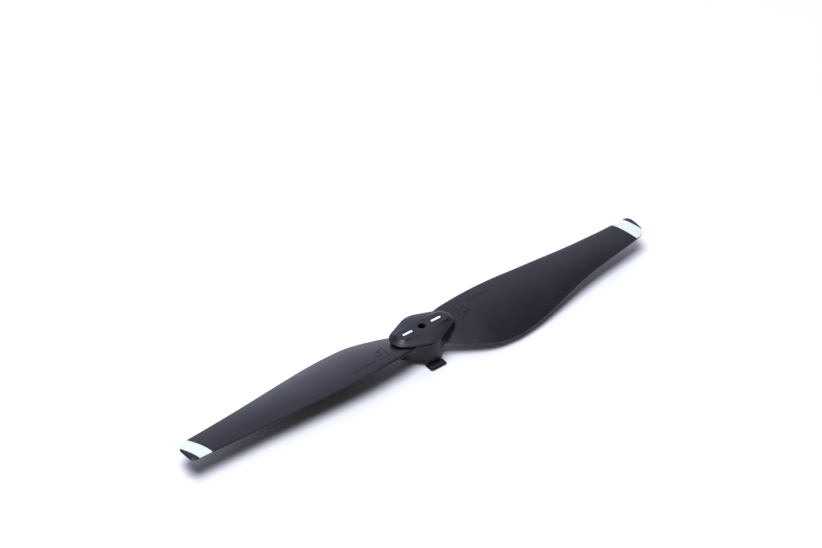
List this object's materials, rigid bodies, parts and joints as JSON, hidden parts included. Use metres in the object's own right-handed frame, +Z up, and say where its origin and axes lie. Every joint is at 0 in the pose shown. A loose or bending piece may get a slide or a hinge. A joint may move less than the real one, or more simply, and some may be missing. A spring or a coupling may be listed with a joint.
{
  "type": "drone propeller",
  "caption": "Rigid quick-release drone propeller with a lobed hub cap, centre hole, bayonet feet and pale tip bands, turning anticlockwise seen from above.",
  "frame": {"origin": "on the spin axis, at the soles of the bayonet feet", "axes": "+Z up the spin axis, towards the hub cap; +X along one blade, whose leading edge faces +Y"},
  "size_m": [0.1346, 0.022, 0.0083],
  "materials": {
    "charcoal_plastic": "fine matte moulding texture",
    "black_plastic": "semi-gloss",
    "white_plastic": "satin",
    "brass": "turned",
    "steel": "blackened"
  },
  "bodies": {
    "root": {"blade_moulding": "charcoal_plastic", "hub_cap": "charcoal_plastic", "lock_base": "black_plastic", "centre_bush": "brass", "screw_1": "steel", "screw_2": "steel", "index_mark_1": "white_plastic", "index_mark_2": "white_plastic"}
  },
  "joints": []
}
